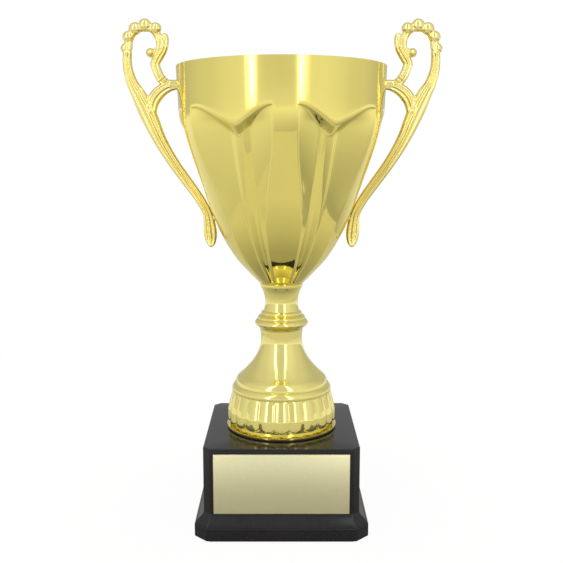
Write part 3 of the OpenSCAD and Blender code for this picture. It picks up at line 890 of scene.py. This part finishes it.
class TROPHY_OT_stem(bpy.types.Operator):
    """Turn the neck and the lobed bell"""
    bl_idname = "trophy.stem"
    bl_label = "Stem"

    def execute(self, context):
        gold = turned_gold(context.scene.trophy_colours.stem)
        self.neck(gold)
        self.bell(gold, context.scene.trophy_sizes.lobes)
        return {"FINISHED"}

    def neck(self, gold):
        foot_r = WAIST_R + 0.6
        profile = (
            bulge((foot_r, NECK_Z), (foot_r + 1.4, NECK_Z + 3), -0.4, 8)
            + bulge((COLLAR_R - 1.6, NECK_Z + 3.4), (COLLAR_R - 1.4, NECK_Z + 8), 1.6, 20)
            + bulge((mix(THROAT_R, COLLAR_R, 0.7), NECK_Z + 8.3),
                    (mix(THROAT_R, COLLAR_R, 0.6), NECK_Z + 10.6), 0.5)
            + bulge((mix(THROAT_R, COLLAR_R, 0.35), NECK_Z + 10.9),
                    (mix(THROAT_R, COLLAR_R, 0.3), NECK_Z + 13.6), 0.6)
            + smooth_curve([(mix(THROAT_R, COLLAR_R, 0.18), NECK_Z + 14.2), (THROAT_R, NECK_Z + 20.4),
                            (mix(THROAT_R, SEAT_R, 0.35), SEAT_Z - 6.3), (SEAT_R - 0.2, SEAT_Z - 2)], 14)
            + [(SEAT_R, SEAT_Z - 1.6), (SEAT_R, SEAT_Z - 0.3), (SEAT_R - 0.3, SEAT_Z)]
            + [(8, SEAT_Z), (8, NECK_Z + 3), (ROD_HOLE_R, NECK_Z + 3), (ROD_HOLE_R, NECK_Z),
               (foot_r, NECK_Z)])
        neck = turned("turned_neck", profile, 128)
        finish_piece(neck, gold, ["stem_neck"], 40)

    def bell(self, gold, lobes):
        curve = smooth_curve([(mix(WAIST_R, SHOULDER_R, r), mix(SHOULDER_Z, NECK_Z, z))
                              for r, z in BELL_SHAPE], 10)
        beads = (bulge((FOOT_R - 4.0, LOBE_TOP + 0.15), (FOOT_R - 5.7, LOBE_TOP + 5.0), 0.9, 16)
                 + bulge((FOOT_R - 6.4, LOBE_TOP + 5.2), (FOOT_R - 9.2, LOBE_TOP + 11.2), 0.9, 18))
        inner = [p for p in inside(curve, BELL_WALL) if p[1] < NECK_Z - 6]
        profile = (
            [(FOOT_R - 0.6, BELL_Z)]
            + bulge((FOOT_R - 0.3, BELL_Z + 0.1), (FOOT_R - 0.1, BELL_Z + FLANGE_T), 0.1, 6)
            + [(FOOT_R - 0.7, BELL_Z + FLANGE_T + 0.25)]
            + rows_between((CORE_R, BELL_Z + FLANGE_T + 0.4), (CORE_R, LOBE_Z), 0.5)
            + rows_between((CORE_R, LOBE_Z + 0.1), (CORE_R, LOBE_Z + 1.5), 0.12)
            + rows_between((CORE_R, LOBE_Z + 1.8), (CORE_R, LOBE_TOP - 1.3), 0.6)
            + rows_between((CORE_R, LOBE_TOP - 1.2), (CORE_R, LOBE_TOP), 0.15)
            + beads + curve
            + [(ROD_HOLE_R, NECK_Z), (ROD_HOLE_R, inner[-1][1])]
            + inner[::-1] + [(CORE_R - BELL_WALL, LOBE_TOP - 2), (CORE_R - BELL_WALL, BELL_Z),
                             (FOOT_R - 0.6, BELL_Z)])
        bell = turned("lobed_bell", profile, 16 * lobes)
        form(bell, lobed(lobes))
        finish_piece(bell, gold, ["stem_bell"], 50)


# ---- Plinth -------------------------------------------------------------------------------------

BLOCK_HALF = 51.5
SLAB_HALF = PLINTH_HIGH.x
SLAB_TOP = PLINTH_LOW.z + 8.8
FLARE_TOP = SLAB_TOP + 7.7
BLOCK_CLIP = 4.5
SLAB_CLIP = 8.5
PLINTH_WALL = 3
TOP_WALL = 3.5
BOSS_R = 5
CORNER_STEPS = 5
SIDE_STEPS = 3
RING_STEPS = 8 * (CORNER_STEPS + SIDE_STEPS)
CORNER_ROUND = 0.7
FLARE_STEPS = 16


def clip_at(half):
    """How much of the corners is clipped off a ring of a half width."""
    return mix(BLOCK_CLIP, SLAB_CLIP, max(half - BLOCK_HALF, 0) / (SLAB_HALF - BLOCK_HALF))


def clipped_square(half, clip, rounding=CORNER_ROUND):
    """Points round a square with clipped and lightly rounded corners, starting on the +X side."""
    corners = []
    for turn in range(4):
        c, s = round(math.cos(turn * math.pi / 2)), round(math.sin(turn * math.pi / 2))
        for y in (clip - half, half - clip):
            corners.append(np.array([half * c - y * s, half * s + y * c], float))
    ring = []
    for i, corner in enumerate(corners):
        before, after = corners[i - 1], corners[(i + 1) % 8]
        start = corner + (before - corner) / np.linalg.norm(before - corner) * rounding
        stop = corner + (after - corner) / np.linalg.norm(after - corner) * rounding
        for j in range(CORNER_STEPS):
            t = j / (CORNER_STEPS - 1)
            ring.append((1 - t) ** 2 * start + 2 * t * (1 - t) * corner + t * t * stop)
        next_start = after + (corner - after) / np.linalg.norm(corner - after) * rounding
        for j in range(1, SIDE_STEPS + 1):
            ring.append(mix(stop, next_start, j / (SIDE_STEPS + 1)))
    return np.array(ring)


def round_hole(radius):
    """The same number of points round a circle, each nearest to its place on the square."""
    ring = clipped_square(BLOCK_HALF, BLOCK_CLIP)
    return ring / np.linalg.norm(ring, axis=1)[:, None] * radius


def quarter(edge, radius, steps=6):
    """Half widths and heights round a quarter circle that ends an edge of a moulding."""
    return [(edge[0] - radius * (1 - math.cos(a)), edge[1] - radius * (1 - math.sin(a)))
            for a in (math.pi / 2 * i / steps for i in range(steps + 1))]


class TROPHY_OT_plinth(bpy.types.Operator):
    """Model the hollow plinth with its clipped corners, flare and slab"""
    bl_idname = "trophy.plinth"
    bl_label = "Plinth"

    def rings(self, edge):
        """Every ring of the moulding, from its outer edge up, over the top, and back inside."""
        low, high = PLINTH_LOW.z, PLINTH_HIGH.z
        outer = [(SLAB_HALF - 0.4, low), (SLAB_HALF, low + 0.4), (SLAB_HALF, mix(low, SLAB_TOP, 0.5))]
        outer += quarter((SLAB_HALF, SLAB_TOP), edge)
        for i in range(1, FLARE_STEPS + 1):
            t = i / FLARE_STEPS
            half = mix(SLAB_HALF - edge, BLOCK_HALF, t * t * (3 - 2 * t))
            outer.append((half, mix(SLAB_TOP, FLARE_TOP, t)))
        outer += [(BLOCK_HALF, FLARE_TOP + 0.4), (BLOCK_HALF, mix(FLARE_TOP, high, 0.5))]
        outer += quarter((BLOCK_HALF, high), edge)
        made = [(clipped_square(half, clip_at(half)), z) for half, z in outer]
        ceiling = high - TOP_WALL
        made += [(round_hole(24), high), (round_hole(ROD_HOLE_R), high), (round_hole(ROD_HOLE_R), ceiling)]
        cavity, ledge = BLOCK_HALF - PLINTH_WALL, BLOCK_HALF + 1
        made += [(clipped_square(cavity, BLOCK_CLIP), z) for z in (ceiling, COVER_HIGH.z)]
        made += [(clipped_square(ledge, BLOCK_CLIP), z) for z in (COVER_HIGH.z, low)]
        return made

    def execute(self, context):
        sizes = context.scene.trophy_sizes
        rings = self.rings(sizes.plinth_edge)
        plinth = sheet("moulded_plinth", RING_STEPS, len(rings))
        points = np.array([np.column_stack([ring, np.full(len(ring), z)]) for ring, z in rings])

        def shape(x, y, z):
            column = np.rint(x * RING_STEPS).astype(int) % RING_STEPS
            row = np.rint(y * len(rings)).astype(int) % len(rings)
            place = points[row, column] * MM
            return place[:, 0], place[:, 1], place[:, 2]

        form(plinth, shape)
        close_up(plinth)
        bosses = [self.boss(sx, sy) for sx in (-1, 1) for sy in (-1, 1)]
        select_only(plinth, *bosses)
        bpy.ops.object.join()
        black = gloss_moulding(context.scene.trophy_colours.plinth)
        finish_piece(plinth, black, ["plinth"], 40)
        return {"FINISHED"}

    def boss(self, side_x, side_y):
        """A screw boss in a corner of the cavity, open below for its screw."""
        low, high = COVER_HIGH.z + 0.05, COVER_HIGH.z + 18
        at = BLOCK_HALF - PLINTH_WALL - BOSS_R + 1
        boss = turned("boss", [(1.6, low), (4.8, low), (BOSS_R, low + 0.2), (BOSS_R, high - 0.3),
                               (4.7, high), (0.05, high), (0.05, high - 6), (1.6, high - 7), (1.6, low)], 32)
        form(boss, lambda x, y, z: (x + side_x * at * MM, y + side_y * at * MM, z))
        return boss


class TROPHY_OT_plate(bpy.types.Operator):
    """Model the blank name plate with its bevelled edge"""
    bl_idname = "trophy.plate"
    bl_label = "Name plate"

    def execute(self, context):
        size = PLATE_HIGH - PLATE_LOW
        middle = (PLATE_HIGH + PLATE_LOW) / 2
        deselect()
        bpy.ops.mesh.primitive_cube_add(size=1, location=middle * MM)
        plate = new_piece("blank_plate")
        plate.scale = size * MM
        apply_place(plate)
        apply_modifier(plate, "BEVEL", width=context.scene.trophy_sizes.plate_edge * MM, segments=3,
                       limit_method="ANGLE")
        finish_piece(plate, satin_plate(context.scene.trophy_colours.plate), ["name_plate"], 25)
        return {"FINISHED"}


# ---- Pieces that stay as the frame has them -----------------------------------------------------

class TROPHY_OT_fittings(bpy.types.Operator):
    """Give the fasteners, ballast, cover, felt, ring and adhesive their finishes"""
    bl_idname = "trophy.fittings"
    bl_label = "Fittings"

    def execute(self, context):
        colours = context.scene.trophy_colours
        finishes = [
            (zinc_steel(colours.steel), ["handle_screws", "handle_washers", "clamp_washer", "cap_nut",
                                         "tie_rod", "rod_washer", "lock_washer", "rod_nut", "cover_screws"]),
            (rough_casting(colours.iron), ["ballast_block"]),
            (pressed_board(colours.board), ["bottom_cover"]),
            (soft_felt(colours.felt), ["felt_pad"]),
            (foam_and_painted_shadow(colours.foam_and_shadow), ["foot_ring"]),
            (adhesive_sheet(colours.adhesive), ["plate_adhesive"]),
        ]
        for material, nodes in finishes:
            for node in nodes:
                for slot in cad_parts[node].material_slots:
                    slot.material = material
        return {"FINISHED"}


# ---- Stage --------------------------------------------------------------------------------------

CAMERA_AT = (0, -0.557, 0.2473)
CAMERA_PITCH = 8.5
LENS = 51.99
LIGHT_AIM = (0, 0, 0.2)
LIGHT_DISTANCE = 1.3
LIGHT_SIZE = 0.9
TABLE_MIDDLE = 0.15
TABLE_WIDTH = 0.7
TABLE_DEPTH = 1.5
TABLE_PAINTED_SHADOW = 0.30       # radius of the shadow painted into the table's middle, in metres
PAPER_GLOW = 1.06        # how bright the table is when seen straight
PAPER_WHITE = 0.9        # and how much of its own shading that covers


def softbox(name, azimuth, elevation, radiance):
    """A square area light that looks at the trophy, placed by angles from the camera's side."""
    a, e = math.radians(azimuth), math.radians(elevation)
    aim = Vector(LIGHT_AIM)
    way = Vector((math.sin(a) * math.cos(e), -math.cos(a) * math.cos(e), math.sin(e)))
    place = aim + LIGHT_DISTANCE * way
    lamp = bpy.data.lights.new(name, "AREA")
    lamp.shape = "SQUARE"
    lamp.size = LIGHT_SIZE
    lamp.energy = radiance * math.pi * LIGHT_SIZE * LIGHT_SIZE
    lamp_object = bpy.data.objects.new(name, lamp)
    bpy.context.scene.collection.objects.link(lamp_object)
    lamp_object.location = place
    lamp_object.visible_glossy = False
    lamp_object.rotation_euler = (aim - place).to_track_quat("-Z", "Y").to_euler()


# Radiance of the room by its azimuth from the camera's side, in degrees, with its two bright strips
ROOM = [(-180, 0.55), (-135, 0.60), (-90, 0.78), (-50, 0.90), (-40, 0.95), (-35, 2.2), (-32, 4.2),
        (-29, 4.2), (-26, 1.1), (-22, 0.84), (-14, 0.78), (0, 0.76), (12, 0.78), (16, 1.0), (19, 3.8),
        (22, 3.8), (26, 1.3), (32, 0.95), (45, 0.95), (90, 0.78), (135, 0.60), (180, 0.55)]
BRIGHTEST = 5.0
CEILING = 0.80
LOW_NEAR = (1.02, 1.05)  # just below the horizon, on the left and on the right
LOW_DEEP = (0.70, 0.46)  # far below it


class TROPHY_OT_stage(bpy.types.Operator):
    """Set the pale table, the soft studio light and the camera"""
    bl_idname = "trophy.stage"
    bl_label = "Stage"

    def execute(self, context):
        scene = context.scene
        self.table(scene)
        self.surroundings(scene)
        softbox("soft_key", -35, 48, 1.6)
        softbox("soft_fill", 60, 35, 0.8)
        camera = bpy.data.cameras.new("camera")
        camera.lens = LENS
        camera.clip_start = 0.01
        camera_object = bpy.data.objects.new("camera", camera)
        scene.collection.objects.link(camera_object)
        camera_object.location = CAMERA_AT
        camera_object.rotation_euler = (math.radians(90 - CAMERA_PITCH), 0, 0)
        scene.camera = camera_object
        scene.view_settings.view_transform = "Standard"
        return {"FINISHED"}

    def table(self, scene):
        """A pale table that fades into the white surroundings when seen straight, with a shadow painted into
        its colour round its middle.
        """
        deselect()
        bpy.ops.mesh.primitive_plane_add(size=1, location=(0, TABLE_MIDDLE, 0))
        table = new_piece("studio_table")
        table.scale = (TABLE_WIDTH, TABLE_DEPTH, 1)
        apply_place(table)
        pale = scene.trophy_colours.floor
        paper = Finish("studio_paper", pale, roughness=0.9)
        painted_shadow = paper.nodes.new("ShaderNodeTexGradient")
        painted_shadow.gradient_type = "SPHERICAL"
        reach = paper.nodes.new("ShaderNodeMapping")
        reach.inputs["Scale"].default_value = [1 / TABLE_PAINTED_SHADOW] * 3
        paper.links.new(paper.place, reach.inputs["Vector"])
        paper.links.new(reach.outputs["Vector"], painted_shadow.inputs["Vector"])
        # painted shadow: the table's colour darkens towards its middle, under the trophy
        paper.vary_colour(painted_shadow.outputs["Fac"], pale, shade(pale, 0.55), 0.0, 0.65)
        glow = paper.nodes.new("ShaderNodeEmission")
        glow.inputs["Color"].default_value = (1, 1, 1, 1)
        glow.inputs["Strength"].default_value = PAPER_GLOW
        path = paper.nodes.new("ShaderNodeLightPath")
        share = paper.nodes.new("ShaderNodeMath")
        share.operation = "MULTIPLY"
        share.inputs[1].default_value = PAPER_WHITE
        paper.links.new(path.outputs["Is Camera Ray"], share.inputs[0])
        seen = paper.nodes.new("ShaderNodeMixShader")
        paper.links.new(share.outputs["Value"], seen.inputs["Fac"])
        paper.links.new(paper.shader.outputs["BSDF"], seen.inputs[1])
        paper.links.new(glow.outputs["Emission"], seen.inputs[2])
        paper.links.new(seen.outputs["Shader"], paper.nodes["Material Output"].inputs["Surface"])
        table.data.materials.append(paper.material)

    def surroundings(self, scene):
        """The room that the gold mirrors: soft bright strips, a pale ceiling and a darker floor."""
        world = bpy.data.worlds.new("studio")
        scene.world = world
        world.use_nodes = True
        nodes, links = world.node_tree.nodes, world.node_tree.links

        def math_node(operation, a, b):
            node = nodes.new("ShaderNodeMath")
            node.operation = operation
            for socket, value in zip(node.inputs, (a, b)):
                if isinstance(value, (int, float)):
                    socket.default_value = value
                else:
                    links.new(value, socket)
            return node.outputs["Value"]

        def spread(value, start, stop, low, high):
            node = nodes.new("ShaderNodeMapRange")
            for key, number in zip(("From Min", "From Max", "To Min", "To Max"), (start, stop, low, high)):
                node.inputs[key].default_value = number
            links.new(value, node.inputs["Value"])
            return node.outputs["Result"]

        def blend(share, a, b):
            return math_node("ADD", math_node("MULTIPLY", math_node("SUBTRACT", 1.0, share), a),
                             math_node("MULTIPLY", share, b))

        way = nodes.new("ShaderNodeTexCoord")
        split = nodes.new("ShaderNodeSeparateXYZ")
        links.new(way.outputs["Generated"], split.inputs["Vector"])
        x, y, z = (split.outputs[key] for key in "XYZ")
        azimuth = math_node("ARCTAN2", x, math_node("MULTIPLY", y, -1.0))
        ramp = nodes.new("ShaderNodeValToRGB")
        ramp.color_ramp.interpolation = "EASE"
        elements = ramp.color_ramp.elements
        for degrees, _ in ROOM[1:-1]:
            elements.new(0.5 + degrees / 360)
        for element, (degrees, radiance) in zip(elements, ROOM):
            element.position = 0.5 + degrees / 360
            element.color = colour([radiance / BRIGHTEST] * 3)
        links.new(spread(azimuth, -math.pi, math.pi, 0, 1), ramp.inputs["Fac"])
        walls = math_node("MULTIPLY", ramp.outputs["Color"], BRIGHTEST)
        above = blend(spread(z, 0.88, 0.98, 0, 1), walls, CEILING)
        near, deep = (spread(x, -0.5, 0.5, *ends) for ends in (LOW_NEAR, LOW_DEEP))
        below = blend(spread(z, -0.08, -0.5, 0, 1), near, deep)
        room = blend(spread(z, 0.0, -0.05, 0, 1), above, below)
        path = nodes.new("ShaderNodeLightPath")
        links.new(blend(path.outputs["Is Camera Ray"], room, 1.0), nodes["Background"].inputs["Strength"])
        nodes["Background"].inputs["Color"].default_value = (1, 1, 1, 1)


# ---- Panel and registration ---------------------------------------------------------------------

MAKERS = [TROPHY_OT_bowl, TROPHY_OT_handles, TROPHY_OT_stem, TROPHY_OT_plinth, TROPHY_OT_plate,
          TROPHY_OT_fittings, TROPHY_OT_stage]


class TROPHY_PT_panel(bpy.types.Panel):
    """Sizes, colours and makers of the cup trophy"""
    bl_label = "Cup trophy"
    bl_idname = "TROPHY_PT_panel"
    bl_space_type = "VIEW_3D"
    bl_region_type = "UI"
    bl_category = "Trophy"

    def draw(self, context):
        for group in (context.scene.trophy_sizes, context.scene.trophy_colours):
            box = self.layout.box()
            for key in group.bl_rna.properties.keys():
                if key not in ("rna_type", "name"):
                    box.prop(group, key)
        for maker in MAKERS:
            self.layout.operator(maker.bl_idname)


CLASSES = [TrophyColours, TrophySizes] + MAKERS + [TROPHY_PT_panel]


def register():
    for cls in CLASSES:
        bpy.utils.register_class(cls)
    bpy.types.Scene.trophy_colours = bpy.props.PointerProperty(type=TrophyColours)
    bpy.types.Scene.trophy_sizes = bpy.props.PointerProperty(type=TrophySizes)


def unregister():
    del bpy.types.Scene.trophy_sizes
    del bpy.types.Scene.trophy_colours
    for cls in reversed(CLASSES):
        bpy.utils.unregister_class(cls)


def main():
    """Makes every piece around the frame."""
    register()
    bpy.ops.trophy.stage()
    bpy.ops.trophy.plinth()
    bpy.ops.trophy.plate()
    bpy.ops.trophy.stem()
    bpy.ops.trophy.bowl()
    bpy.ops.trophy.handles()
    bpy.ops.trophy.fittings()


if __name__ == "__main__":
    main()
